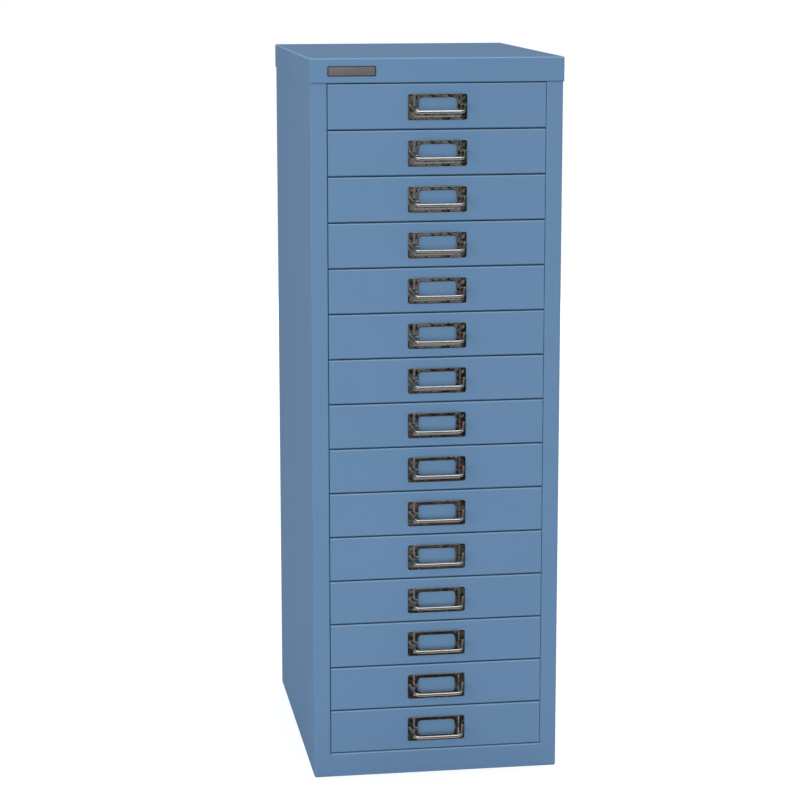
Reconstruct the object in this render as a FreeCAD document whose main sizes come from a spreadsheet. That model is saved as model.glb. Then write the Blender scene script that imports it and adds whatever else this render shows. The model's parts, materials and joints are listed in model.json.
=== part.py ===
"""A free-standing steel cabinet with fifteen shallow drawers, each with a label plate and a wire pull.

Millimetres. +Z is up, the drawer fronts face -Y, and the origin is on the floor under the middle of the casing.
Drawer 01 is the top one. Every drawer is drawn once, in the lowest place, and repeated up the casing.
"""

import FreeCAD
import Part
import os
import re
import Sketcher

# Driving dimensions: name, value and what it measures
SIZES = [
    ("carcass_width", "296", "over the two side panels"),
    ("carcass_depth", "380", "over the uprights and the rear returns"),
    ("case_sheet", "0.9", "steel of the casing"),
    ("fold_inside", "0.7", "inside radius of the folds"),
    ("side_lift", "1.2", "floor to the lower edge of the side panels and the back"),
    ("upright_width", "19.75", "front face folded from each side panel"),
    ("upright_return", "30", "depth of the fold behind each upright"),
    ("rear_return", "15", "fold of each side panel over the back"),
    ("lid_height", "28.7", "skirt of the lid"),
    ("lid_return", "13", "flange folded in under the lid's front"),
    ("head_clearance", "0.5", "between the top drawer's place and the lid"),
    ("pan_flange", "11", "upstand round the floor pan"),
    ("rail_height", "28.75", "floor to the top of the bottom rail"),
    ("rail_depth", "15", "top shelf of the bottom rail"),
    ("rail_lip", "9", "lip folded down behind the bottom rail"),
    ("rail_lap", "0.25", "line left open between the floor pan and the bottom rail"),
    ("rail_foot", "1.5", "floor to the lower edge of the bottom rail"),
    ("post_depth", "22", "rear post, front to back"),
    ("drawer_count", "15", "drawers, one above the other"),
    ("drawer_pitch", "53.47", "from one drawer to the next"),
    ("front_gap", "0.9", "between two drawer fronts"),
    ("side_gap", "0.6", "between a drawer front and an upright"),
    ("front_depth", "11", "hollow drawer front, front to back"),
    ("tray_sheet", "0.8", "steel of the drawers"),
    ("tray_back", "161", "casing's middle to the rear face of a drawer"),
    ("tray_lift", "2.5", "drawer's place to the underside of its floor"),
    ("back_drop", "4", "rear wall of the drawer, below its sides"),
    ("runner_sheet", "1", "steel of the runners"),
    ("runner_height", "11", "channel section of a runner"),
    ("runner_depth", "8.5", "channel section of a runner, into the bay"),
    ("runner_drop", "4", "top of the drawer's place to the top of its runners"),
    ("runner_rear", "182", "casing's middle to the rear end of a runner"),
    ("runner_start", "1", "between a closed drawer front and its runners"),
    ("tray_clearance", "0.75", "between a drawer's side and the mouth of its runner"),
    ("slide_clearance", "0.3", "running gap under the drawer's flange, and behind a closed drawer"),
    ("flange_clearance", "1", "between the drawer's flange and the back of its runner"),
    ("drawer_travel", "285", "closed to fully open"),
    ("stop_height", "4", "stop lug at the front of a runner, down from its upper lip"),
    ("stop_width", "5.5", "stop lug, across the runner"),
    ("stop_clearance", "0.5", "left at the stop when a drawer is fully open"),
    ("ear_clearance", "0.6", "between a drawer's stop ear and the upper lip"),
    ("plate_width", "69.5", "label plate"),
    ("plate_height", "30.5", "label plate"),
    ("plate_sheet", "0.8", "steel of the label plate"),
    ("plate_corner", "2.2", "corner radius of the label plate"),
    ("plate_drop", "0.7", "drawer's middle to the middle of the label plate"),
    ("card_room", "1.2", "pocket for the label behind the plate"),
    ("window_width", "44.7", "window of the label plate"),
    ("window_height", "17.6", "window of the label plate"),
    ("window_corner", "4", "corner radius of the window"),
    ("window_top", "4.6", "border above the window"),
    ("step_edge", "7.45", "label plate's side edge to the middle of the step up to its raised middle"),
    ("step_width", "2.2", "each step of the label plate, from flat to flat"),
    ("raised_low", "3.4", "label plate's lower edge to its raised middle"),
    ("wire", "4", "diameter of the pull"),
    ("pull_span", "54.6", "between the middles of the pull's two bends"),
    ("pull_reach", "20", "drawer front to the middle of the pull's bar"),
    ("pull_droop", "6", "pull's bar, below its two feet"),
    ("pull_foot", "13.9", "plate's upper edge to the middle of the pull's feet"),
    ("foot_edge", "3.65", "plate's side edge to the middle of each foot"),
    ("pull_bend", "4.5", "length of the mitred run at each bend, along each leg"),
]

# Lengths worked out from the driving ones
CASE_FOLD = "(fold_inside + case_sheet)"
TRAY_FOLD = "(fold_inside + tray_sheet)"
HALF_WIDTH = "(carcass_width / 2)"
FRONT = "(-carcass_depth / 2)"
BACK = "(carcass_depth / 2)"
HALF_BAY = "(carcass_width / 2 - upright_width)"
BAY_TOP = "(rail_height + drawer_count * drawer_pitch + head_clearance)"
TOTAL_HEIGHT = "(rail_height + drawer_count * drawer_pitch + head_clearance + lid_height)"
PANEL_TOP = "(rail_height + drawer_count * drawer_pitch + head_clearance + lid_height - case_sheet)"
BACK_PANEL_FACE = "(carcass_depth / 2 - 2 * case_sheet)"
HALF_FRONT = "(carcass_width / 2 - upright_width - side_gap)"
FRONT_REAR = "(front_depth - carcass_depth / 2)"
HALF_TRAY = "(carcass_width / 2 - upright_width - runner_depth - tray_clearance)"
HALF_FLANGE = "(carcass_width / 2 - upright_width - runner_sheet - flange_clearance)"
RUNNER_TOP = "(drawer_pitch - runner_drop)"
RUNNER_BOTTOM = "(drawer_pitch - runner_drop - runner_height)"
FLANGE_UNDERSIDE = "(drawer_pitch - runner_drop - runner_height + runner_sheet + slide_clearance)"
FLANGE_TOP = "(drawer_pitch - runner_drop - runner_height + runner_sheet + slide_clearance + tray_sheet)"
EAR_TOP = "(drawer_pitch - runner_drop - runner_sheet - ear_clearance)"
LUG_REAR = "(tray_back - tray_sheet - drawer_travel - stop_clearance)"
PLATE_TOP = "(drawer_pitch / 2 - plate_drop + plate_height / 2)"
PLATE_FACE = "(-carcass_depth / 2 - card_room - plate_sheet)"
STRIP_FACE = "(-carcass_depth / 2 - plate_sheet)"
FOOT_LEVEL = "(drawer_pitch / 2 - plate_drop + plate_height / 2 - pull_foot)"

doc = FreeCAD.newDocument("DrawerCabinet")
sheet = doc.addObject("Spreadsheet::Sheet", "Sizes")
for row, (alias, number, meaning) in enumerate(SIZES, start=1):
    sheet.set(f"A{row}", meaning)
    sheet.set(f"B{row}", number)
    sheet.setAlias(f"B{row}", alias)
doc.recompute()

ALIASES = {alias for alias, number, meaning in SIZES}


def bound(expression):
    """The expression with each name of a driving dimension pointed at the sheet."""
    return re.sub(r"[a-z_]+", lambda word: prefixed(word.group(0)), expression)


def prefixed(word):
    """A driving dimension's name as other objects call it, or the word as it is."""
    return f"Sizes.{word}" if word in ALIASES else word


def measure(expression):
    """The expression's present value."""
    return float(sheet.evalExpression(expression))


def plane_of(body, role):
    """One of the body's own origin planes."""
    return next(plane for plane in body.Origin.OriginFeatures if plane.Role == role)


def new_body(label):
    body = doc.addObject("PartDesign::Body", label)
    body.Label = label
    return body


def new_sketch(body, role, offset="0"):
    """An empty sketch on an origin plane of the body, moved off it along its normal."""
    sketch = body.newObject("Sketcher::SketchObject", "outline")
    sketch.AttachmentSupport = [(plane_of(body, role), "")]
    sketch.MapMode = "FlatFace"
    sketch.setExpression("AttachmentOffset.Base.z", bound(offset))
    return sketch


def place_point(sketch, index, end, corner):
    """Fixes one end of a line or a circle's middle by two expressions, measured from the sketch's origin."""
    for kind, expression in zip(("DistanceX", "DistanceY"), corner):
        constraint = Sketcher.Constraint(kind, -1, 1, index, end, measure(expression))
        number = sketch.addConstraint(constraint)
        sketch.setExpression(f"Constraints[{number}]", bound(expression))


def draw_outline(sketch, corners, closed=True):
    """Straight lines from corner to corner, each corner held by two expressions."""
    points = [FreeCAD.Vector(measure(across), measure(up), 0) for across, up in corners]
    first = sketch.GeometryCount
    sides = len(points) if closed else len(points) - 1
    for side in range(sides):
        line = Part.LineSegment(points[side], points[(side + 1) % len(points)])
        sketch.addGeometry(line, False)
    for side in range(sides if closed else sides - 1):
        following = first + (side + 1) % sides
        sketch.addConstraint(Sketcher.Constraint("Coincident", first + side, 2, following, 1))
    for side in range(sides):
        place_point(sketch, first + side, 1, corners[side])
    if not closed:
        place_point(sketch, first + sides - 1, 2, corners[-1])


def rectangle(left, low, right, high):
    """The four corners of an upright rectangle."""
    return [(left, low), (right, low), (right, high), (left, high)]


def pad(body, role, outlines, length, offset="0"):
    """Adds a plate: the outlines on an origin plane, moved off by offset and made length thick along its normal."""
    sketch = new_sketch(body, role, offset)
    for corners in outlines:
        draw_outline(sketch, corners)
    feature = body.newObject("PartDesign::Pad", "plate")
    feature.Profile = sketch
    feature.setExpression("Length", bound(length))
    doc.recompute()
    return feature


def pocket(body, role, outlines, length, offset="0"):
    """Takes the same kind of plate away, along the plane's normal, and makes sure that something went."""
    before = body.Shape.Volume
    sketch = new_sketch(body, role, offset)
    for corners in outlines:
        draw_outline(sketch, corners)
    feature = body.newObject("PartDesign::Pocket", "opening")
    feature.Profile = sketch
    feature.Reversed = True
    feature.setExpression("Length", bound(length))
    doc.recompute()
    if body.Shape.Volume >= before:
        raise RuntimeError(f"a pocket in {body.Label} takes nothing away")
    return feature


def edges_along(feature, axis, places):
    """Names of the straight edges along an axis that pass through one of the places.

    A place is two expressions: the edge's coordinates across the axis, in X, Y, Z order.
    """
    across = [direction for direction in range(3) if direction != "XYZ".index(axis)]
    wanted = [[measure(expression) for expression in place] for place in places]
    names = []
    for number, edge in enumerate(feature.Shape.Edges, start=1):
        start, end = edge.Vertexes[0].Point, edge.Vertexes[-1].Point
        if abs(start["XYZ".index(axis)] - end["XYZ".index(axis)]) < 1e-6:
            continue
        for place in wanted:
            reach = [abs(point[direction] - goal) for point in (start, end) for direction, goal in zip(across, place)]
            if max(reach) < 1e-4:
                names.append(f"Edge{number}")
    return names


def round_edges(body, feature, axis, places, radius):
    """Rounds the straight edges along an axis at the places."""
    names = edges_along(feature, axis, places)
    if len(names) < len(places):
        raise RuntimeError(f"{body.Label} lacks an edge to round")
    fillet = body.newObject("PartDesign::Fillet", "bend")
    fillet.Base = (feature, names)
    fillet.setExpression("Radius", bound(radius))
    doc.recompute()
    return fillet


def mirrored_copy(source, label):
    """The right-hand twin of a left-hand piece."""
    copy = doc.addObject("Part::Mirroring", label)
    copy.Label = label
    copy.Source = source
    copy.Normal = FreeCAD.Vector(1, 0, 0)
    return copy


def make_side_panel():
    """One folded sheet: the side, the upright at the front with its return, and the return over the back."""
    body = new_body("side_panel_left")
    skin = f"(case_sheet - {HALF_WIDTH})"
    inner = f"(-{HALF_BAY})"
    section = [
        (f"-{HALF_WIDTH}", BACK),
        (f"-{HALF_WIDTH}", FRONT),
        (inner, FRONT),
        (inner, f"{FRONT} + upright_return"),
        (f"{inner} - case_sheet", f"{FRONT} + upright_return"),
        (f"{inner} - case_sheet", f"{FRONT} + case_sheet"),
        (skin, f"{FRONT} + case_sheet"),
        (skin, f"{BACK} - case_sheet"),
        (f"rear_return - {HALF_WIDTH}", f"{BACK} - case_sheet"),
        (f"rear_return - {HALF_WIDTH}", BACK),
    ]
    panel = pad(body, "XY_Plane", [section], f"{PANEL_TOP} - side_lift", "side_lift")
    outer = round_edges(body, panel, "Z", section[0:3], CASE_FOLD)
    round_edges(body, outer, "Z", section[5:8], "fold_inside")
    return body


def make_back_panel():
    """A flat sheet inside the rear returns, clear of the round inside of their folds."""
    body = new_body("back_panel")
    half = f"({HALF_WIDTH} - {CASE_FOLD})"
    sheet_outline = rectangle(f"-{half}", BACK_PANEL_FACE, half, f"{BACK} - case_sheet")
    pad(body, "XY_Plane", [sheet_outline], f"{PANEL_TOP} - side_lift", "side_lift")
    return body


def make_rear_post():
    """An upright channel in the rear corner that carries the runners' rear ends."""
    body = new_body("rear_post_left")
    outer = f"(case_sheet - {HALF_WIDTH})"
    inner = f"(-{HALF_BAY})"
    front = f"({BACK_PANEL_FACE} - post_depth)"
    section = [
        (outer, front),
        (inner, front),
        (inner, BACK_PANEL_FACE),
        (outer, BACK_PANEL_FACE),
        (outer, f"{BACK_PANEL_FACE} - case_sheet"),
        (f"{inner} - case_sheet", f"{BACK_PANEL_FACE} - case_sheet"),
        (f"{inner} - case_sheet", f"{front} + case_sheet"),
        (outer, f"{front} + case_sheet"),
    ]
    pad(body, "XY_Plane", [section], f"{PANEL_TOP} - pan_flange", "pan_flange")
    return body


def make_lid():
    """A pressed cap over the sides and the back, with a flange folded in under its front."""
    body = new_body("top_lid")
    half = f"({HALF_WIDTH} + case_sheet)"
    front = f"({FRONT} - case_sheet)"
    back = f"({BACK} + case_sheet)"
    outline = rectangle(f"-{half}", front, half, back)
    block = pad(body, "XY_Plane", [outline], "lid_height", BAY_TOP)
    top_edges = [f"Edge{number}" for number, edge in enumerate(block.Shape.Edges, start=1)
                 if edge.BoundBox.ZMin > measure(TOTAL_HEIGHT) - 1e-4]
    crown = body.newObject("PartDesign::Fillet", "crown")
    crown.Base = (block, top_edges)
    crown.setExpression("Radius", bound(CASE_FOLD))
    doc.recompute()
    hollow = rectangle(f"-{HALF_WIDTH}", FRONT, HALF_WIDTH, BACK)
    pocket(body, "XY_Plane", [hollow], "lid_height - case_sheet", BAY_TOP)
    flange = rectangle(f"-{HALF_BAY}", f"{FRONT} - case_sheet / 2", HALF_BAY, f"{FRONT} + lid_return")
    pad(body, "XY_Plane", [flange], "case_sheet", BAY_TOP)
    return body


def make_base_pan():
    """The floor: a shallow pan inside the casing, whose front upstand shows between the uprights."""
    body = new_body("base_pan")
    half = f"({HALF_WIDTH} - case_sheet)"
    notch = HALF_BAY
    behind_upright = f"({FRONT} + upright_return)"
    floor = rectangle(f"-{half}", FRONT, half, BACK_PANEL_FACE)
    pad(body, "XY_Plane", [floor], "pan_flange")
    hollow = rectangle(
        f"case_sheet - {half}", f"{FRONT} + case_sheet", f"{half} - case_sheet", f"{BACK_PANEL_FACE} - case_sheet")
    pocket(body, "XY_Plane", [hollow], "pan_flange - case_sheet", "case_sheet")
    corners = [
        rectangle(f"-{half} - 1", f"{FRONT} - 1", f"-{notch}", behind_upright),
        rectangle(notch, f"{FRONT} - 1", f"{half} + 1", behind_upright),
    ]
    pocket(body, "XY_Plane", corners, "pan_flange", "case_sheet")
    return body


def make_bottom_rail():
    """The rail under the lowest drawer: a folded strip that laps behind the floor pan's upstand."""
    body = new_body("bottom_front_rail")
    lap = "(pan_flange + rail_lap)"
    section = [
        (FRONT, "rail_height"),
        (FRONT, lap),
        (f"{FRONT} + case_sheet", lap),
        (f"{FRONT} + case_sheet", "rail_foot"),
        (f"{FRONT} + 2 * case_sheet", "rail_foot"),
        (f"{FRONT} + 2 * case_sheet", f"{lap} + case_sheet"),
        (f"{FRONT} + case_sheet", f"{lap} + case_sheet"),
        (f"{FRONT} + case_sheet", "rail_height - case_sheet"),
        (f"{FRONT} + rail_depth - case_sheet", "rail_height - case_sheet"),
        (f"{FRONT} + rail_depth - case_sheet", "rail_height - rail_lip"),
        (f"{FRONT} + rail_depth", "rail_height - rail_lip"),
        (f"{FRONT} + rail_depth", "rail_height"),
    ]
    strip = pad(body, "YZ_Plane", [section], f"2 * {HALF_BAY}", f"-{HALF_BAY}")
    round_edges(body, strip, "X", [section[0], section[11]], CASE_FOLD)
    return body


def make_runner():
    """The left runner of the lowest drawer: a channel with a stop lug near its front and a stop tab at its rear."""
    body = new_body("runner_pattern")
    web = f"(-{HALF_BAY})"
    mouth = f"(runner_depth - {HALF_BAY})"
    inside = f"(runner_sheet - {HALF_BAY})"
    section = [
        (web, RUNNER_BOTTOM),
        (mouth, RUNNER_BOTTOM),
        (mouth, f"{RUNNER_BOTTOM} + runner_sheet"),
        (inside, f"{RUNNER_BOTTOM} + runner_sheet"),
        (inside, f"{RUNNER_TOP} - runner_sheet"),
        (mouth, f"{RUNNER_TOP} - runner_sheet"),
        (mouth, RUNNER_TOP),
        (web, RUNNER_TOP),
    ]
    start = f"({FRONT_REAR} + runner_start)"
    pad(body, "XZ_Plane", [section], f"runner_rear - {start}", "-runner_rear")
    lug = rectangle(
        inside, f"{RUNNER_TOP} - runner_sheet - stop_height", f"{inside} + stop_width", f"{RUNNER_TOP} - runner_sheet")
    pad(body, "XZ_Plane", [lug], "runner_sheet", f"-{LUG_REAR}")
    tab = rectangle(inside, f"{RUNNER_BOTTOM} + runner_sheet", mouth, f"{RUNNER_TOP} - runner_sheet")
    pad(body, "XZ_Plane", [tab], "runner_sheet", "-(tray_back + slide_clearance + runner_sheet)")
    return body


def make_runner_row(pattern):
    """The left runner once for every drawer."""
    row = doc.addObject("Part::Compound", "runners_left")
    row.Label = "runners_left"
    row.Links = [repeat_at(pattern, f"runner_{place + 1:02d}", place) for place in range(int(measure("drawer_count")))]
    doc.recompute()
    return row


def make_tray():
    """The lowest drawer: an open tray with a hollow folded front and flanges that hang in the runners."""
    body = new_body("tray_pattern")
    low, high = "(front_gap / 2)", "(drawer_pitch - front_gap / 2)"
    face = rectangle(f"-{HALF_FRONT}", low, HALF_FRONT, high)
    front = pad(body, "XZ_Plane", [face], "front_depth", f"-{FRONT_REAR}")
    round_edges(body, front, "X", [(FRONT, low), (FRONT, high)], TRAY_FOLD)
    hollow = rectangle(
        f"tray_sheet - {HALF_FRONT}", f"{low} + tray_sheet", f"{HALF_FRONT} - tray_sheet", f"{high} - tray_sheet")
    pocket(body, "XZ_Plane", [hollow], "front_depth - tray_sheet", f"-{FRONT_REAR}")
    skin = rectangle(f"-{HALF_TRAY}", low, HALF_TRAY, high)
    pad(body, "XZ_Plane", [skin], "tray_sheet", f"-{FRONT_REAR} - tray_sheet")
    walls = [
        (f"-{HALF_TRAY}", FLANGE_TOP),
        (f"-{HALF_TRAY}", "tray_lift"),
        (HALF_TRAY, "tray_lift"),
        (HALF_TRAY, FLANGE_TOP),
        (f"{HALF_TRAY} - tray_sheet", FLANGE_TOP),
        (f"{HALF_TRAY} - tray_sheet", "tray_lift + tray_sheet"),
        (f"tray_sheet - {HALF_TRAY}", "tray_lift + tray_sheet"),
        (f"tray_sheet - {HALF_TRAY}", FLANGE_TOP),
    ]
    pad(body, "XZ_Plane", [walls], f"tray_back - {FRONT_REAR}", "-tray_back")
    back = rectangle(f"-{HALF_TRAY} + tray_sheet / 2", "tray_lift + tray_sheet / 2",
                     f"{HALF_TRAY} - tray_sheet / 2", f"{FLANGE_TOP} - back_drop")
    pad(body, "XZ_Plane", [back], "tray_sheet", "-tray_back")
    flanges = [
        rectangle(f"-{HALF_FLANGE}", FLANGE_UNDERSIDE, f"-{HALF_TRAY}", FLANGE_TOP),
        rectangle(HALF_TRAY, FLANGE_UNDERSIDE, HALF_FLANGE, FLANGE_TOP),
    ]
    pad(body, "XZ_Plane", flanges, f"tray_back - {FRONT_REAR} - tray_sheet", "-tray_back")
    ear_in = f"({HALF_BAY} - runner_sheet - stop_width)"
    ears = [
        rectangle(f"-{HALF_FLANGE}", FLANGE_TOP, f"-{ear_in}", EAR_TOP),
        rectangle(ear_in, FLANGE_TOP, HALF_FLANGE, EAR_TOP),
    ]
    pad(body, "XZ_Plane", ears, "tray_sheet", "-tray_back")
    return body


def make_label_plate():
    """The lowest drawer's label plate: a flat strip whose middle is pressed out into a card pocket with a window."""
    body = new_body("label_plate_pattern")
    half = "(plate_width / 2)"
    low = f"({PLATE_TOP} - plate_height)"
    outline = rectangle(f"-{half}", low, half, PLATE_TOP)
    strip = pad(body, "XZ_Plane", [outline], "plate_sheet", f"-{FRONT}")
    round_edges(body, strip, "Y", outline, "plate_corner")
    step_foot = "((plate_width + step_width) / 2 - step_edge)"
    step_head = "((plate_width - step_width) / 2 - step_edge)"
    raised_from = f"({low} + raised_low)"
    raised = [
        (f"-{step_foot}", FRONT),
        (f"-{step_foot}", STRIP_FACE),
        (f"-{step_head}", PLATE_FACE),
        (step_head, PLATE_FACE),
        (step_foot, STRIP_FACE),
        (step_foot, FRONT),
    ]
    pad(body, "XY_Plane", [raised], f"{PLATE_TOP} - {raised_from}", raised_from)
    lower_step = [
        (STRIP_FACE, raised_from),
        (f"{PLATE_FACE} - 1", f"{raised_from} - 1"),
        (f"{PLATE_FACE} - 1", f"{raised_from} + step_width"),
        (PLATE_FACE, f"{raised_from} + step_width"),
    ]
    pocket(body, "YZ_Plane", [lower_step], f"2 * {step_foot}", f"-{step_foot}")
    room = [
        (f"plate_sheet - {step_foot}", FRONT),
        (f"-{step_head}", f"{FRONT} - card_room"),
        (step_head, f"{FRONT} - card_room"),
        (f"{step_foot} - plate_sheet", FRONT),
    ]
    pocket(body, "XY_Plane", [room], "plate_height", f"{raised_from} + step_width")
    window = rectangle(
        "-window_width / 2", f"{PLATE_TOP} - window_top - window_height", "window_width / 2",
        f"{PLATE_TOP} - window_top")
    opened = pocket(body, "XZ_Plane", [window], "2 * plate_sheet", f"-{FRONT} + card_room")
    round_edges(body, opened, "Y", window, "window_corner")
    return body


def make_pull():
    """The lowest drawer's pull: a wire bow whose two feet stand on the flat sides of the label plate.

    Half the bow is swept from the middle of its bar, with each bend in two mitred runs, and mirrored.
    The bow's plane slopes, so that the bar hangs lower than the feet. The wire is drawn with flats.
    """
    body = new_body("pull_pattern")
    flats = 8
    fullness = 0.45
    overrun = 0.2
    rise = "(pull_reach - plate_sheet)"
    slope = f"(sqrt({rise} ^ 2 + pull_droop ^ 2))"
    foot = "(plate_width / 2 - foot_edge)"
    corner = "(pull_span / 2)"
    share = f"(pull_bend / {slope})"
    bend_start = (f"{corner} - pull_bend", f"-{slope}")
    bend_end = (f"{corner} + ({foot} - {corner}) * {share}", f"-{slope} + {slope} * {share}")
    bend_middle = (f"{fullness} * {corner} + {1 - fullness} * ({bend_start[0]} + {bend_end[0]}) / 2",
                   f"-{fullness} * {slope} + {1 - fullness} * ({bend_start[1]} + {bend_end[1]}) / 2")
    path = new_sketch(body, "XY_Plane", FOOT_LEVEL)
    path.AttachmentOffset = FreeCAD.Placement(
        FreeCAD.Vector(0, measure(STRIP_FACE), measure(FOOT_LEVEL)), FreeCAD.Rotation(FreeCAD.Vector(1, 0, 0), 1))
    path.setExpression("AttachmentOffset.Base.y", bound(STRIP_FACE))
    path.setExpression("AttachmentOffset.Rotation.Angle", bound(f"atan(pull_droop / {rise})"))
    draw_outline(path, [
        ("0", f"-{slope}"),
        bend_start,
        bend_middle,
        bend_end,
        (f"{foot} + ({foot} - {corner}) * {overrun}", f"{slope} * {overrun}"),
    ], closed=False)
    section = new_sketch(body, "YZ_Plane")
    ring = []
    for flat in range(flats):
        turn = f"{360 * flat / flats} deg"
        ring.append((f"{FRONT} - pull_reach + wire / 2 * cos({turn})",
                     f"{FOOT_LEVEL} - pull_droop + wire / 2 * sin({turn})"))
    draw_outline(section, ring)
    doc.recompute()
    half_bow = body.newObject("PartDesign::AdditivePipe", "half_bow")
    half_bow.Profile = section
    half_bow.Spine = (path, [f"Edge{number}" for number in range(1, path.GeometryCount + 1)])
    half_bow.Transition = "Right corner"
    doc.recompute()
    behind = rectangle("-plate_width", "0", "plate_width", "drawer_pitch")
    trimmed = pocket(body, "XZ_Plane", [behind], "pull_reach", f"-{STRIP_FACE} - pull_reach")
    bow = body.newObject("PartDesign::Mirrored", "bow")
    bow.Originals = [half_bow, trimmed]
    bow.MirrorPlane = (plane_of(body, "YZ_Plane"), [""])
    body.Tip = bow
    doc.recompute()
    return body


def repeat_at(pattern, label, place):
    """A copy of a drawer piece in one of the drawers' places, counted from the lowest."""
    copy = new_body(label)
    base = doc.addObject("PartDesign::FeatureBase", "pattern_of_" + label)
    base.BaseFeature = pattern
    copy.Group = [base]
    copy.Tip = base
    copy.setExpression("Placement.Base.z", bound(f"rail_height + {place} * drawer_pitch"))
    return copy


side_panel = make_side_panel()
rear_post = make_rear_post()
runners = make_runner_row(make_runner())
pieces = [
    side_panel,
    mirrored_copy(side_panel, "side_panel_right"),
    make_back_panel(),
    make_lid(),
    make_base_pan(),
    make_bottom_rail(),
    rear_post,
    mirrored_copy(rear_post, "rear_post_right"),
    runners,
    mirrored_copy(runners, "runners_right"),
]

tray, plate, pull = make_tray(), make_label_plate(), make_pull()
count = int(measure("drawer_count"))
for place in range(count):
    number = f"{count - place:02d}"
    pieces.append(repeat_at(tray, f"drawer_{number}_tray", place))
    pieces.append(repeat_at(plate, f"drawer_{number}_label_plate", place))
    pieces.append(repeat_at(pull, f"drawer_{number}_pull", place))
doc.recompute()

for item in doc.Objects:
    if "Invalid" in item.State or "Error" in item.State:
        raise RuntimeError(f"{item.Label} is in error")
for piece in pieces:
    if piece.Shape.isNull() or not piece.Shape.isValid() or not piece.Shape.Solids:
        raise RuntimeError(f"{piece.Label} has no valid solid")

os.makedirs("parts", exist_ok=True)
for piece in pieces:
    piece.Shape.exportStep(f"parts/{piece.Label}.step")
print(len(pieces), "pieces written")
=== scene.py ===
"""A blue steel cabinet with fifteen shallow drawers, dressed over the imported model. Metres.

+Z is up, the drawer fronts face -Y, and the origin is on the floor under the middle of the casing.
Drawer 01 is the top one. Colours are linear.
"""

import json
import math

import bmesh
import bpy
from mathutils import Matrix, Vector


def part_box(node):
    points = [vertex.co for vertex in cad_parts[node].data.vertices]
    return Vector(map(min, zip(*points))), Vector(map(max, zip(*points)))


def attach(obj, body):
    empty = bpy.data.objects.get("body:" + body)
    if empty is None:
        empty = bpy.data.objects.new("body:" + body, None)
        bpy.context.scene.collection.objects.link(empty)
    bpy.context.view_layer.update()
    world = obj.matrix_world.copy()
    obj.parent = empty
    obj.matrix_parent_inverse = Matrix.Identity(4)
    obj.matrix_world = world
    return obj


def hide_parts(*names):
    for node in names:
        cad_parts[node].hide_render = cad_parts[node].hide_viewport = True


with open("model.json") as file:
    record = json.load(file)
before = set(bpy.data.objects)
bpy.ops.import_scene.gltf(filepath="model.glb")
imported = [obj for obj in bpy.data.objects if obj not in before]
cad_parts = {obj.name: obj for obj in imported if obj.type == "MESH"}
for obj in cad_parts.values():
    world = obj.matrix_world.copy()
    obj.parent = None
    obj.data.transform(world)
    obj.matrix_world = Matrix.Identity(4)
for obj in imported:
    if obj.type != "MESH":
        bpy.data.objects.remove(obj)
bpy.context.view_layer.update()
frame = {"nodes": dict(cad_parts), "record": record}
scene = bpy.context.scene
MM = 0.001
DRAWERS = [f"drawer_{number:02d}" for number in range(1, 16)]
WHITE = (1, 1, 1)


# Shader nodes

def emptied(data):
    """The node tree of a material or world, with nothing in it."""
    data.use_nodes = True
    data.node_tree.nodes.clear()
    return data.node_tree


def add_node(tree, kind, inputs, **settings):
    """A new node. An input is a number, a vector, a colour, or the output of another node."""
    node = tree.nodes.new(f"ShaderNode{kind}")
    for name, value in settings.items():
        setattr(node, name, value)
    for key, value in inputs.items():
        socket = node.inputs[key]
        if isinstance(value, bpy.types.NodeSocket):
            tree.links.new(value, socket)
        elif socket.type == "RGBA":
            socket.default_value = (*value, 1)
        else:
            socket.default_value = value
    return node


def object_point(tree):
    """The place on the piece, in metres, which moves with it."""
    return add_node(tree, "TexCoord", {}).outputs["Object"]


def parts_of(tree, vector):
    """The X, Y and Z of a vector."""
    return add_node(tree, "SeparateXYZ", {"Vector": vector}).outputs


def stretched(tree, point, scale):
    """The point with its X, Y and Z scaled, which draws a texture out along the smallest of them."""
    return add_node(tree, "Mapping", {"Vector": point, "Scale": scale}).outputs["Vector"]


def noise(tree, point, scale, detail, roughness=0.5):
    """Cloudy noise with this many features to the unit of the point."""
    inputs = {"Vector": point, "Scale": scale, "Detail": detail, "Roughness": roughness}
    return add_node(tree, "TexNoise", inputs).outputs["Fac"]


def spread(tree, value, low, high, span=(0.3, 0.7), curve="LINEAR"):
    """Low before the span, high past it, and between them inside it. Most noise lies between 0.3 and 0.7."""
    inputs = {"Value": value, "From Min": span[0], "From Max": span[1], "To Min": low, "To Max": high}
    return add_node(tree, "MapRange", inputs, interpolation_type=curve).outputs["Result"]


def blend(tree, share, first, second):
    """From the first colour to the second as the share goes from 0 to 1."""
    inputs = {"Factor": share, "A": first, "B": second}
    return add_node(tree, "Mix", inputs, data_type="RGBA").outputs["Result"]


def calculate(tree, operation, *values):
    """The result of a Math node."""
    return add_node(tree, "Math", dict(enumerate(values)), operation=operation).outputs["Value"]


def with_share(tree, first, second, share):
    """The first value plus a share of the second."""
    return calculate(tree, "MULTIPLY_ADD", second, share, first)


def relief(tree, height, depth, strength):
    """The normal of a surface with this relief, whose depth is in metres."""
    inputs = {"Height": height, "Distance": depth, "Strength": strength}
    return add_node(tree, "Bump", inputs).outputs["Normal"]


# Materials of the object

FOLD_START, FOLD_END = (0.04, 0.22), (0.95, 0.99)  # how far a normal leans up or down along a fold
# Painted light on the paint: a paler painted highlight along folds that lean up, and darker painted shade
# along folds that lean down
UPPER_FOLD_PAINTED_HIGHLIGHT, LOWER_FOLD_PAINTED_SHADE = (0.225, 0.365, 0.525), (0.045, 0.095, 0.170)
PAINT_DEEP, PAINT_PALE = (0.124, 0.230, 0.379), (0.130, 0.237, 0.387)
FEET_SPAN = (-0.2098, -0.2065)  # Y where the painted shade on the pull's wire starts, and where it is full
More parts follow.
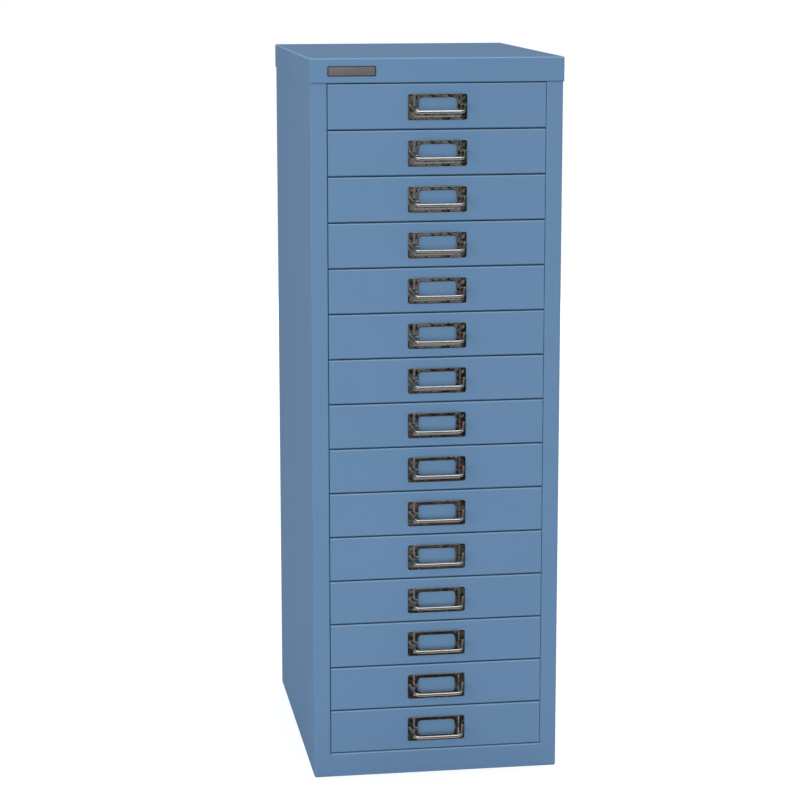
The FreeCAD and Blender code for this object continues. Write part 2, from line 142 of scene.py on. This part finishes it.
# The first of these is painted shade: the metal darker and warmer towards the pull's feet, which damps the
# blue drawer front mirrored in the legs
FEET_PAINTED_SHADE, FEET_EDGE = (0.36, 0.31, 0.26), (0.45, 0.38, 0.32)


def finish_material(name, make_inputs):
    """A Principled material with the inputs that a function makes in its node tree."""
    material = bpy.data.materials.new(name)
    tree = emptied(material)
    shader = add_node(tree, "BsdfPrincipled", make_inputs(tree))
    add_node(tree, "OutputMaterial", {"Surface": shader.outputs["BSDF"]})
    return material


def powder_coat(tree):
    """Satin powder coat with fine orange peel, with a painted highlight along upper folds and painted shade
    along lower ones.
    """
    point = object_point(tree)
    cloud = noise(tree, point, scale=7, detail=3)
    colour = blend(tree, spread(tree, cloud, 0, 1), PAINT_DEEP, PAINT_PALE)
    lean = parts_of(tree, add_node(tree, "TexCoord", {}).outputs["Normal"])["Z"]
    # Painted highlight along upper folds and painted shade along lower folds, by how far the normal leans
    for side, tone in ((1, UPPER_FOLD_PAINTED_HIGHLIGHT), (-1, LOWER_FOLD_PAINTED_SHADE)):
        start, end = ([side * bound for bound in span] for span in (FOLD_START, FOLD_END))
        fold = calculate(tree, "MULTIPLY", spread(tree, lean, 0, 1, start), spread(tree, lean, 1, 0, end))
        colour = blend(tree, fold, colour, tone)
    peel = noise(tree, point, scale=420, detail=1)
    grain = noise(tree, point, scale=1500, detail=2)
    return {
        "Base Color": colour,
        "Roughness": spread(tree, grain, 0.66, 0.76),
        "Normal": relief(tree, with_share(tree, peel, grain, 0.4), depth=0.00004, strength=0.5),
        "Specular IOR Level": 0.03,
    }


def chromed_steel(tree, dark, light, roughness, ripple):
    """Bright, with the slight ripples of the metal under the chromium."""
    point = object_point(tree)
    wave = noise(tree, point, scale=95, detail=1)
    haze = noise(tree, point, scale=900, detail=3)
    return {
        "Base Color": blend(tree, spread(tree, wave, 0, 1), dark, light),
        "Roughness": spread(tree, haze, *roughness),
        "Normal": relief(tree, wave, depth=ripple, strength=0.6),
        "Metallic": 1.0,
    }


def chrome_plate(tree):
    """The label plates."""
    return chromed_steel(tree, (0.54, 0.535, 0.53), (0.62, 0.615, 0.61), (0.03, 0.06), 0.0004)


def chrome_wire(tree):
    """The pulls: brighter and with less ripple than the plates, with painted shade that darkens the metal
    towards their feet.
    """
    inputs = chromed_steel(tree, (0.66, 0.64, 0.61), (0.76, 0.74, 0.71), (0.05, 0.10), 0.0001)
    # Painted shade: the wire's colour darkens towards its feet
    feet_shade_share = spread(tree, parts_of(tree, object_point(tree))["Y"], 0, 1, FEET_SPAN)
    inputs["Base Color"] = blend(tree, feet_shade_share, inputs["Base Color"], FEET_PAINTED_SHADE)
    inputs["Specular Tint"] = FEET_EDGE
    return inputs


def zinc_plate(tree):
    """Zinc on the runners and posts: dull, with fine lines along the rolled strip."""
    point = object_point(tree)
    lines = noise(tree, stretched(tree, point, (1, 0.03, 1)), scale=1200, detail=3, roughness=0.7)
    cloud = noise(tree, point, scale=60, detail=4)
    return {
        "Base Color": blend(tree, spread(tree, cloud, 0, 1), (0.50, 0.51, 0.52), (0.62, 0.63, 0.64)),
        "Roughness": spread(tree, with_share(tree, lines, cloud, 0.5), 0.30, 0.48, (0.4, 1.1)),
        "Normal": relief(tree, lines, depth=0.00003, strength=0.5),
        "Metallic": 1.0,
    }


def brushed_nickel(tree, dark, light):
    """Satin metal, brushed from end to end."""
    along = stretched(tree, object_point(tree), (0.04, 1, 1))
    lines = noise(tree, along, scale=2600, detail=3, roughness=0.7)
    return {
        "Base Color": blend(tree, spread(tree, lines, 0, 1), dark, light),
        "Roughness": spread(tree, lines, 0.30, 0.45),
        "Normal": relief(tree, lines, depth=0.00002, strength=0.4),
        "Metallic": 0.7,
    }


def rim_nickel(tree):
    """The dark rim of the lid's plate."""
    return brushed_nickel(tree, (0.07, 0.068, 0.066), (0.11, 0.105, 0.10))


def satin_nickel(tree):
    """The middle of the lid's plate."""
    return brushed_nickel(tree, (0.28, 0.275, 0.27), (0.38, 0.375, 0.37))


# Meshes, drawn in millimetres

SAME_POINT = 1e-4  # points closer together than this are one
CORNER_CUTS = 7


def new_piece(name, mesh_data, material):
    """An object that shows a mesh, which other objects may share."""
    piece = bpy.data.objects.new(name, mesh_data)
    scene.collection.objects.link(piece)
    if not mesh_data.materials:
        mesh_data.materials.append(material)
    return piece


def mesh_from(name, draw, *details):
    """A smooth mesh of what a function draws."""
    drawing = bmesh.new()
    draw(drawing, *details)
    bmesh.ops.remove_doubles(drawing, verts=drawing.verts, dist=SAME_POINT)
    bmesh.ops.recalc_face_normals(drawing, faces=drawing.faces)
    bmesh.ops.scale(drawing, vec=(MM, MM, MM), verts=drawing.verts)
    data = bpy.data.meshes.new(name)
    drawing.to_mesh(data)
    drawing.free()
    data.shade_smooth()
    return data


def rounded_loop(half_width, half_height, radius):
    """X and Z along an upright rounded rectangle, with the same number of points whatever its size."""
    points = []
    for quarter, (side, level) in enumerate(((1, 1), (-1, 1), (-1, -1), (1, -1))):
        across, up = side * (half_width - radius), level * (half_height - radius)
        for step in range(CORNER_CUTS + 1):
            turn = math.pi / 2 * (quarter + step / CORNER_CUTS)
            points.append((across + radius * math.cos(turn), up + radius * math.sin(turn)))
    return points


def skin(drawing, rings):
    """Faces between each ring of points and the next."""
    rows = [[drawing.verts.new(point) for point in ring] for ring in rings]
    for row, following in zip(rows, rows[1:]):
        for index in range(len(row)):
            after = (index + 1) % len(row)
            drawing.faces.new((row[index], row[after], following[after], following[index]))
    return rows


# The label plate: one sheet, flat at its sides and along its lower edge. Heights are from its middle

PLATE = {"half_width": 34.75, "half_height": 15.25, "corner": 2.6, "sheet": 0.8, "strip_face": -190.8,
         "rise": 1.2, "step_middle": 27.3, "step_width": 2.2, "raised_low": 3.4, "roll": 0.3}
WINDOW = {"half_width": 22.35, "half_height": 8.8, "corner": 4.0, "middle": 1.85}
STEP_ACROSS, STEP_UP = (25.9, 28.7), (-12.55, -9.05)  # where its points crowd together over the pressed step
STEP_CUTS, FLAT_CUTS, ROLL_CUTS = 12, 3, 5
WINDOW_CORNER_CUTS, PLATE_CORNER_CUTS = 8, 6
LOWEST_CUTS, HIGHEST_CUTS = 2, 4
ROLL_ZONE = 0.1  # how near the window's edge counts as on it
ROUNDING = 1e-6


def eased(share):
    """0 to 1 with soft ends."""
    share = min(max(share, 0.0), 1.0)
    return share * share * (3 - 2 * share)


def plate_face(across, up):
    """Depth of the plate's front: the flat strip, and the middle that is pressed out of it."""
    beside = eased((PLATE["step_middle"] + PLATE["step_width"] / 2 - abs(across)) / PLATE["step_width"])
    above = eased((up + PLATE["half_height"] - PLATE["raised_low"]) / PLATE["step_width"])
    return PLATE["strip_face"] - PLATE["rise"] * beside * above


def widened(shape, growth):
    """A rounded rectangle's half width, half height and corner radius, with its edge moved outward."""
    return tuple(shape[name] + growth for name in ("half_width", "half_height", "corner"))


def arc_height(across, half_width, half_height, corner):
    """Half the height of a rounded rectangle at a place across it."""
    past = min(max(abs(across) - (half_width - corner), 0.0), corner)
    return half_height - corner + math.sqrt(corner * corner - past * past)


def outward(across, up, half_width, half_height, corner):
    """The direction away from a rounded rectangle at a point of its edge."""
    past = Vector((max(abs(across) - (half_width - corner), 0.0), max(abs(up) - (half_height - corner), 0.0)))
    return Vector((math.copysign(past.x, across), math.copysign(past.y, up))).normalized()


def steps_between(start, end, count):
    """Even steps from the start up to the end, without the end."""
    return [start + (end - start) * step / count for step in range(count)]


def arc_steps(start, radius, count):
    """Steps that get narrower towards the side of a round corner, with its end."""
    return [start + radius * math.sin(math.pi / 2 * step / count) for step in range(count + 1)]


def plate_columns(edge, window):
    """Where the plate's columns of points stand, from its left edge to its right one."""
    window_flat, edge_flat = window[0] - window[2], edge[0] - edge[2]
    half = steps_between(0, window_flat, FLAT_CUTS) + arc_steps(window_flat, window[2], WINDOW_CORNER_CUTS)
    half += steps_between(window[0], STEP_ACROSS[0], FLAT_CUTS)[1:] + steps_between(*STEP_ACROSS, STEP_CUTS)
    half += steps_between(STEP_ACROSS[1], edge_flat, FLAT_CUTS)
    half += arc_steps(edge_flat, edge[2], PLATE_CORNER_CUTS)
    return [-place for place in reversed(half[1:])] + half


def draw_label_plate(drawing):
    """The sheet with its window: columns of points from edge to edge, then a rolled rim round both edges."""
    edge, window = widened(PLATE, -PLATE["roll"]), widened(WINDOW, PLATE["roll"])
    blocks = {"lower": [], "beside": [], "upper": []}
    for across in plate_columns(edge, window):
        reach = arc_height(across, *edge)
        opening = arc_height(across, *window)
        sill, head = WINDOW["middle"] - opening, WINDOW["middle"] + opening
        past_window = abs(across) > window[0] - ROUNDING
        heights = {
            "lower": steps_between(-reach, STEP_UP[0], LOWEST_CUTS) + steps_between(*STEP_UP, STEP_CUTS)
            + steps_between(STEP_UP[1], sill, FLAT_CUTS) + [sill],
            "beside": steps_between(sill, head, FLAT_CUTS) + [head] if past_window else [],
            "upper": steps_between(head, reach, HIGHEST_CUTS) + [reach],
        }
        for name, column in heights.items():
            blocks[name].append([drawing.verts.new((across, plate_face(across, up), up)) for up in column])
    for columns in blocks.values():
        for column, following in zip(columns, columns[1:]):
            for index in range(min(len(column), len(following)) - 1):
                corners = column[index], following[index], following[index + 1], column[index + 1]
                drawing.faces.new(corners)
    bmesh.ops.remove_doubles(drawing, verts=drawing.verts, dist=SAME_POINT)
    roll_rims(drawing, edge, window)


def roll_rims(drawing, edge, window):
    """Turns the sheet's open edges back, through its thickness."""
    open_edges = [side for side in drawing.edges if len(side.link_faces) == 1]
    stacks = {}
    for point in {point for side in open_edges for point in side.verts}:
        across, depth, up = point.co
        above = up - WINDOW["middle"]
        if abs(across) < window[0] + ROLL_ZONE and abs(above) < window[1] + ROLL_ZONE:
            away = -outward(across, above, *window)
        else:
            away = outward(across, up, *edge)
        stack = [point]
        for step in range(1, ROLL_CUTS + 1):
            turn = math.pi / 2 * step / ROLL_CUTS
            out, back = PLATE["roll"] * math.sin(turn), PLATE["roll"] * (1 - math.cos(turn))
            stack.append(drawing.verts.new((across + away.x * out, depth + back, up + away.y * out)))
        end = stack[-1].co
        stack.append(drawing.verts.new((end.x, depth + PLATE["sheet"], end.z)))
        stacks[point] = stack
    for side in open_edges:
        first, second = (stacks[point] for point in side.verts)
        for level in range(len(first) - 1):
            drawing.faces.new((first[level], second[level], second[level + 1], first[level + 1]))


# The pull: heights are from the middle of its label plate

FOOT = Vector((32.1, -190.8, 1.0))
CORNER = Vector((27.3, -210.0, -4.65))
WIRE_RADIUS = 1.95
WIRE_SIDES = 20
BEND_RUN = 5.2  # from a sharp corner to either end of its bend
BEND_CUTS = 12
# The brazing at a foot: how far along the leg, and how much thicker the wire is there
BRAZING = ((-0.5, 0.3), (0.0, 0.3), (0.12, 0.2), (0.3, 0.1), (0.6, 0.02), (0.9, 0.0))
BAR_SHARES = (0.25, 0.5, 0.75)  # where the bar has points between a bend and its middle


def wire_line():
    """The pull's middle line from the right foot to the left one, as points and the wire's radius there."""
    leg = (CORNER - FOOT).normalized()
    bar = Vector((-1, 0, 0))
    start, end = CORNER - leg * BEND_RUN, CORNER + bar * BEND_RUN
    turn = leg.angle(bar)
    radius = BEND_RUN / math.tan(turn / 2)
    inward = (bar - leg * bar.dot(leg)).normalized()
    centre = start + inward * radius
    half = [(FOOT + leg * along, WIRE_RADIUS + extra) for along, extra in BRAZING]
    for step in range(BEND_CUTS + 1):
        swing = turn * step / BEND_CUTS
        place = centre - inward * radius * math.cos(swing) + leg * radius * math.sin(swing)
        half.append((place, WIRE_RADIUS))
    middle = Vector((0, end.y, end.z))
    half += [(end.lerp(middle, share), WIRE_RADIUS) for share in BAR_SHARES]
    other = [(Vector((-point.x, point.y, point.z)), size) for point, size in reversed(half)]
    return half + [(middle, WIRE_RADIUS)] + other


def draw_pull(drawing):
    """Round wire along its middle line, with closed ends."""
    line = wire_line()
    sideways = (CORNER - FOOT).cross(Vector((-1, 0, 0))).normalized()
    turns = [2 * math.pi * step / WIRE_SIDES for step in range(WIRE_SIDES)]
    rings = []
    for index, (point, size) in enumerate(line):
        before, after = line[max(index - 1, 0)][0], line[min(index + 1, len(line) - 1)][0]
        upward = (after - before).normalized().cross(sideways).normalized()
        rings.append([point + size * (math.cos(turn) * sideways + math.sin(turn) * upward) for turn in turns])
    rows = skin(drawing, rings)
    drawing.faces.new(rows[0])
    drawing.faces.new(rows[-1])


# The small pieces on the casing

BLANK_PLATE_EDGE = 0.3  # width of its softened edge
BLANK_PLATE_TURN = 0.09  # how far inside its outline and its face the edge turns
LEAST_CORNER = 0.1


def draw_blank_plate(drawing, half_width, half_height, corner, back, front):
    """A small raised plate with softened edges."""
    edge, turn = BLANK_PLATE_EDGE, BLANK_PLATE_TURN
    rings = []
    for inset, depth in ((0, back), (0, front + edge), (turn, front + turn), (edge, front)):
        loop = rounded_loop(half_width - inset, half_height - inset, max(corner - inset, LEAST_CORNER))
        rings.append([(across, depth, up) for across, up in loop])
    rows = skin(drawing, rings)
    drawing.faces.new(rows[-1])


def draw_strip(drawing, section, start, end):
    """A bar of this section from one place to another."""
    rows = skin(drawing, [[Vector(point) + Vector(place) for point in section] for place in (start, end)])
    drawing.faces.new(rows[0])
    drawing.faces.new(rows[-1])


# Materials on the carried-over nodes

blue = finish_material("blue_powder_coat", powder_coat)
chrome = finish_material("chrome_plate", chrome_plate)
bright_wire = finish_material("chrome_wire", chrome_wire)
zinc = finish_material("zinc_plate", zinc_plate)
finishes = {"blue_paint": blue, "chrome_wire_and_plate": chrome, "zinc_plated_steel": zinc}
for part in frame["record"]["subparts"]:
    node = frame["nodes"][part["node"]]
    for holder in node.material_slots:
        holder.material = finishes[part["material_slot"]]

# A label plate and a pull on every drawer

plate_mesh = mesh_from("label_plate", draw_label_plate)
pull_mesh = mesh_from("pull", draw_pull)
for drawer in DRAWERS:
    low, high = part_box(f"{drawer}_label_plate")
    for kind, data, material in (("label_plate", plate_mesh, chrome), ("pull", pull_mesh, bright_wire)):
        piece = new_piece(f"{drawer}_{kind}_detail", data, material)
        piece.location.z = (low.z + high.z) / 2
        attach(piece, drawer)
        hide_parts(f"{drawer}_{kind}")

# A blank plate near the left end of the lid's front

LID_PLATE_PLACE = (-0.0998, 0, 0.845)
lid_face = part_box("top_lid")[0].y / MM
# Half width, half height, corner, and how far it stands out
for name, half_width, half_height, corner, proud, finish in (
    ("lid_plate_rim", 28.0, 5.9, 1.4, 0.7, finish_material("dark_nickel", rim_nickel)),
    ("lid_plate_centre", 26.8, 4.7, 0.6, 0.85, finish_material("satin_nickel", satin_nickel)),
):
    data = mesh_from(name, draw_blank_plate, half_width, half_height, corner, lid_face, lid_face - proud)
    piece = new_piece(name, data, finish)
    piece.location = LID_PLATE_PLACE
    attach(piece, "cabinet")

# Paint that fills the seams round the bottom rail, and a strip along the lid's front hem that makes a painted
# shadow line under the lid's lip

SEAM = [(129.9, -189.985, 0), (129.4, -189.96, 0), (128.7, -189.96, 0), (128.2, -189.985, 0),
        (128.2, -188.5, 0), (129.0, -188.6, 0)]
SEAM_MIRRORED = [(-across, depth, up) for across, depth, up in SEAM]
# Its front leans up, so the powder coat's painted highlight makes a light line along the seam
SILL = [(0, -189.985, 10.9), (0, -189.9, 11.05), (0, -189.8, 11.2), (0, -189.75, 11.35),
        (0, -189.2, 11.35), (0, -189.2, 10.9)]
# A dark strip under the lid's front lip: its face leans down, so the powder coat's painted shade makes a
# painted shadow line there
LID_LIP_SHADOW = [(0, -190.88, 832.15), (0, -191.12, 832.1), (0, -190.92, 831.25), (0, -190.85, 831.25)]
STRIP_FOLD = 0.6  # radians; a strip's edges sharper than this aren't smoothed
for name, section, start, end in (
    ("rail_seam_right", SEAM, (0, 0, 1.3), (0, 0, 27.6)),
    ("rail_seam_left", SEAM_MIRRORED, (0, 0, 1.3), (0, 0, 27.6)),
    ("rail_seam_low", SILL, (-128.3, 0, 0), (128.3, 0, 0)),
    ("lid_lip_painted_shadow", LID_LIP_SHADOW, (-147.2, 0, 0), (147.2, 0, 0)),
):
    data = mesh_from(name, draw_strip, section, start, end)
    data.set_sharp_from_angle(angle=STRIP_FOLD)
    piece = new_piece(name, data, blue)
    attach(piece, "cabinet")


# Floor and surroundings

BOARD_COLOUR = (0.88, 0.88, 0.88)
SHOWN_COLOUR, SHOWN_GLOW = (0.30, 0.30, 0.30), 0.83  # white together, where no shadow falls
FLOOR_SIDE, FLOOR_FRONT, FLOOR_BACK = 4, -4, 5
MIRRORED_FROM = -0.2  # Y in front of which the chrome doesn't mirror the floor
AMBIENT = 0.59


def seen_directly(tree, path):
    """1 for what the camera, a mirror or glass shows, 0 for light on its way to a matt surface."""
    seen = calculate(tree, "MAXIMUM", path["Is Camera Ray"], path["Is Glossy Ray"])
    return calculate(tree, "MAXIMUM", seen, path["Is Transmission Ray"])


def either_shader(tree, share, first, second):
    """The first shader at a share of 0, the second at 1."""
    return add_node(tree, "MixShader", {"Fac": share, 1: first, 2: second}).outputs["Shader"]


def background(tree, colour, strength=1.0):
    """The world's light in this colour."""
    return add_node(tree, "Background", {"Color": colour, "Strength": strength}).outputs["Background"]


def make_floor_white():
    """White board. It lights the cabinet as such board does, shows as white, and keeps a soft shadow."""
    material = bpy.data.materials.new("floor_white")
    tree = emptied(material)
    board = add_node(tree, "BsdfDiffuse", {"Color": BOARD_COLOUR}).outputs["BSDF"]
    shaded = add_node(tree, "BsdfDiffuse", {"Color": SHOWN_COLOUR}).outputs["BSDF"]
    glow = add_node(tree, "Emission", {"Color": WHITE, "Strength": SHOWN_GLOW}).outputs["Emission"]
    shown = add_node(tree, "AddShader", {0: shaded, 1: glow}).outputs["Shader"]
    seen = seen_directly(tree, add_node(tree, "LightPath", {}).outputs)
    add_node(tree, "OutputMaterial", {"Surface": either_shader(tree, seen, board, shown)})
    return material


def make_floor(name, front, back, material, mirrored=True):
    """A stretch of the floor."""
    data = bpy.data.meshes.new(name)
    corners = [(-FLOOR_SIDE, front, 0), (FLOOR_SIDE, front, 0), (FLOOR_SIDE, back, 0), (-FLOOR_SIDE, back, 0)]
    data.from_pydata(corners, [], [(0, 1, 2, 3)])
    data.materials.append(material)
    floor = bpy.data.objects.new(name, data)
    scene.collection.objects.link(floor)
    floor.visible_glossy = mirrored


# The room as mirrors show it. The spans are parts of a direction, whose length is 1

AHEAD = (0.05, 0.40)  # Y: in front of the drawers below the first, behind them past the second
CEILING = (0.52, 0.66)  # Z: from the top of the walls to the ceiling
GROUND = (-0.66, -0.44)  # Z: from the floor near the drawers to the walls
LIT_BEARING, LIT_HALF_WIDTH = 1.12, (0.18, 0.42)  # X / Y of a lit stretch of wall, and half its width
PATCHES = (0.40, 0.64)  # the noise that turns into dark and lighter patches
PATCH_DARK, PATCH_LIGHT = (0.014, 0.012, 0.011), (0.240, 0.230, 0.220)
LIT_COLOUR, GROUND_COLOUR = (0.70, 0.67, 0.63), (0.40, 0.39, 0.38)


def mirrored_room(tree):
    """White, but dark and patchy in front of the drawers, as the photographed chrome shows it."""
    direction = add_node(tree, "TexCoord", {}).outputs["Generated"]
    x, y, z = parts_of(tree, direction)
    patches = noise(tree, stretched(tree, direction, (1, 1, 0.35)), scale=20, detail=3)
    walls = blend(tree, spread(tree, patches, 0, 1, PATCHES, "SMOOTHSTEP"), PATCH_DARK, PATCH_LIGHT)
    bearing = calculate(tree, "DIVIDE", x, y)
    off_bearing = calculate(tree, "ABSOLUTE", calculate(tree, "SUBTRACT", bearing, LIT_BEARING))
    walls = blend(tree, spread(tree, off_bearing, 1, 0, LIT_HALF_WIDTH, "SMOOTHSTEP"), walls, LIT_COLOUR)
    walls = blend(tree, spread(tree, z, 1, 0, GROUND, "SMOOTHSTEP"), walls, GROUND_COLOUR)
    ahead = spread(tree, y, 1, 0, AHEAD, "SMOOTHSTEP")
    below_ceiling = spread(tree, z, 1, 0, CEILING, "SMOOTHSTEP")
    return blend(tree, calculate(tree, "MULTIPLY", ahead, below_ceiling), WHITE, walls)


def make_world():
    """A white room, at a plain level as light and at full white as a background."""
    world = bpy.data.worlds.new("studio")
    tree = emptied(world)
    path = add_node(tree, "LightPath", {}).outputs
    room = background(tree, mirrored_room(tree))
    shown = either_shader(tree, path["Is Glossy Ray"], background(tree, WHITE), room)
    ambient = background(tree, WHITE, AMBIENT)
    surroundings = either_shader(tree, seen_directly(tree, path), ambient, shown)
    add_node(tree, "OutputWorld", {"Surface": surroundings})
    scene.world = world


floor_white = make_floor_white()
make_floor("floor", MIRRORED_FROM, FLOOR_BACK, floor_white)
make_floor("floor_front", FLOOR_FRONT, MIRRORED_FROM, floor_white, mirrored=False)
make_world()


# Lamps: place, the point they aim at, width and height, watts, and whether the chrome mirrors them

SOFTBOXES = {
    "softbox_above": ((0, 0.1, 3.1), (0, 0, 0.86), (1.8, 1.4), 15, True),
    "softbox_front": ((-0.9, -4.3, 0.6), (0, 0, 0.35), (1.6, 1.1), 43, False),
    "softbox_left": ((-2.2, -2.2, 0.8), (0, 0, 0.45), (1.0, 1.6), 21, False),
    "softbox_right": ((2.6, 0.8, 1.2), (0, 0, 0.45), (1.2, 1.6), 18, True),
    "softbox_back": ((0.4, 3.6, 0.9), (0, 0, 0.45), (1.4, 1.4), 24, False),
}
for name, (place, aim, size, watts, mirrored) in SOFTBOXES.items():
    data = bpy.data.lights.new(name, "AREA")
    data.shape = "RECTANGLE"
    data.size, data.size_y = size
    data.energy = watts
    lamp = bpy.data.objects.new(name, data)
    scene.collection.objects.link(lamp)
    lamp.location = place
    lamp.rotation_mode = "QUATERNION"
    lamp.rotation_quaternion = (Vector(aim) - Vector(place)).to_track_quat("-Z", "Y")
    lamp.visible_camera = False
    lamp.visible_glossy = mirrored


# Camera: a little to the left of the cabinet, just above its top, looking slightly down. Angles in degrees

CAMERA_PLACE = (-0.457, -2.877, 0.991)
HEADING, TILT_DOWN, ROLL = -8.74, 10.46, -0.02

data = bpy.data.cameras.new("camera")
data.sensor_fit = "HORIZONTAL"
data.sensor_width = 36.0
data.lens = 105.95
data.shift_y = -0.03
data.clip_start = 0.05
camera = bpy.data.objects.new("camera", data)
scene.collection.objects.link(camera)
turned = Matrix.Identity(4)
for angle, around in ((HEADING, "Z"), (90 - TILT_DOWN, "X"), (ROLL, "Z")):
    turned = turned @ Matrix.Rotation(math.radians(angle), 4, around)
camera.matrix_world = Matrix.Translation(CAMERA_PLACE) @ turned
scene.camera = camera
scene.view_settings.view_transform = "Standard"
